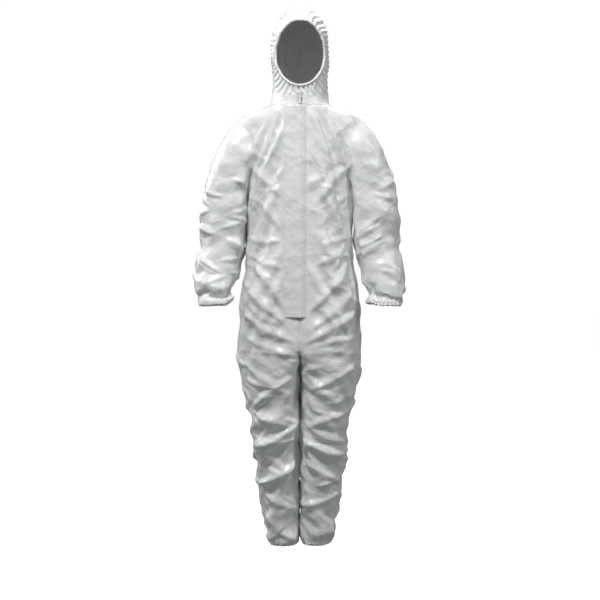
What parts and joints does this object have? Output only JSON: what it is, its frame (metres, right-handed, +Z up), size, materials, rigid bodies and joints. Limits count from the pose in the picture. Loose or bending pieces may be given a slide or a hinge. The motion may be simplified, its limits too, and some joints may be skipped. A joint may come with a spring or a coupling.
{
  "type": "chemical protective suit",
  "caption": "Hooded one-piece coverall of crinkled white laminate, with elasticated face opening, waist, cuffs and ankles, and a front zip under a storm flap.",
  "frame": {"origin": "midway between the wearer's two shoulder points, in the plane of the side seams: the place from which the worn suit hangs", "axes": "+Z up towards the hood, -Y out of the front with the zip, +X towards the wearer's left arm"},
  "size_m": [0.638, 0.283, 1.624],
  "materials": {
    "laminate": "white microporous film laminate, semi-gloss, finely crinkled",
    "flap": "doubled white laminate, semi-gloss",
    "elastic": "gathered white hem over narrow elastic, matt",
    "zip_tape": "woven white polyester tape, matt",
    "zip_coil": "white nylon, satin",
    "zip_slider": "white moulded plastic, satin",
    "adhesive": "clear double-sided tape on a white carrier, glossy",
    "label": "blank white satin label"
  },
  "bodies": {
    "torso": {"front_panel_left": "laminate", "front_panel_right": "laminate", "back_panel": "laminate", "seat_panel": "laminate", "waist_elastic": "elastic", "care_label": "label", "neck_panel_left": "laminate", "neck_panel_right": "laminate", "zip_tape_left": "zip_tape", "zip_tape_right": "zip_tape", "zip_coil_left": "zip_coil", "zip_coil_right": "zip_coil", "zip_top_stop_left": "zip_coil", "zip_top_stop_right": "zip_coil", "zip_bottom_stop": "zip_coil"},
    "hood": {"hood_panel_left": "laminate", "hood_panel_right": "laminate", "face_elastic": "elastic"},
    "upper_sleeve_left": {"upper_sleeve_front_left": "laminate", "upper_sleeve_back_left": "laminate"},
    "lower_sleeve_left": {"lower_sleeve_front_left": "laminate", "lower_sleeve_back_left": "laminate", "cuff_elastic_left": "elastic"},
    "upper_sleeve_right": {"upper_sleeve_front_right": "laminate", "upper_sleeve_back_right": "laminate"},
    "lower_sleeve_right": {"lower_sleeve_front_right": "laminate", "lower_sleeve_back_right": "laminate", "cuff_elastic_right": "elastic"},
    "thigh_left": {"thigh_front_left": "laminate", "thigh_back_left": "laminate"},
    "shin_left": {"shin_front_left": "laminate", "shin_back_left": "laminate", "ankle_elastic_left": "elastic"},
    "thigh_right": {"thigh_front_right": "laminate", "thigh_back_right": "laminate"},
    "shin_right": {"shin_front_right": "laminate", "shin_back_right": "laminate", "ankle_elastic_right": "elastic"},
    "storm_flap": {"storm_flap": "flap", "flap_adhesive": "adhesive"},
    "zip_slider": {"zip_slider": "zip_slider"},
    "zip_pull": {"zip_pull": "zip_slider"}
  },
  "joints": [
    {"name": "hood_fold", "type": "hinge", "parent": "torso", "child": "hood", "pos_m": [0, 0.0782, 0.05218], "axis": [-1, 0, 0], "range_deg": [0, 75]},
    {"name": "shoulder_swing_left", "type": "hinge", "parent": "torso", "child": "upper_sleeve_left", "pos_m": [0.1752, 0, -0.0865], "axis": [-0.9934, 0, 0.1148], "range_deg": [-35, 100]},
    {"name": "shoulder_swing_right", "type": "hinge", "parent": "torso", "child": "upper_sleeve_right", "pos_m": [-0.1752, 0, -0.0865], "axis": [-0.9934, 0, -0.1148], "range_deg": [-35, 100]},
    {"name": "elbow_bend_left", "type": "hinge", "parent": "upper_sleeve_left", "child": "lower_sleeve_left", "pos_m": [0.238, -0.0665, -0.378], "axis": [-1, 0, 0], "range_deg": [0, 90]},
    {"name": "elbow_bend_right", "type": "hinge", "parent": "upper_sleeve_right", "child": "lower_sleeve_right", "pos_m": [-0.238, -0.0665, -0.378], "axis": [-1, 0, 0], "range_deg": [0, 90]},
    {"name": "hip_bend_left", "type": "hinge", "parent": "torso", "child": "thigh_left", "pos_m": [0.094, -0.134, -0.623], "axis": [-1, 0, 0], "range_deg": [0, 60]},
    {"name": "hip_bend_right", "type": "hinge", "parent": "torso", "child": "thigh_right", "pos_m": [-0.094, -0.134, -0.623], "axis": [-1, 0, 0], "range_deg": [0, 60]},
    {"name": "knee_bend_left", "type": "hinge", "parent": "thigh_left", "child": "shin_left", "pos_m": [0.075, 0.0745, -0.938], "axis": [1, 0, 0], "range_deg": [0, 90]},
    {"name": "knee_bend_right", "type": "hinge", "parent": "thigh_right", "child": "shin_right", "pos_m": [-0.075, 0.0745, -0.938], "axis": [1, 0, 0], "range_deg": [0, 90]},
    {"name": "storm_flap_fold", "type": "hinge", "parent": "torso", "child": "storm_flap", "pos_m": [0.016, -0.11572, -0.29324], "axis": [0, 0.0464, 0.9989], "range_deg": [0, 150]},
    {"name": "zip_slider_travel", "type": "slide", "parent": "torso", "child": "zip_slider", "axis": [0, -0.0464, -0.9989], "range_m": [0, 0.6435]},
    {"name": "zip_pull_swing", "type": "hinge", "parent": "zip_slider", "child": "zip_pull", "pos_m": [0, -0.09999, 0.06078], "axis": [-1, 0, 0], "range_deg": [0, 110]}
  ]
}
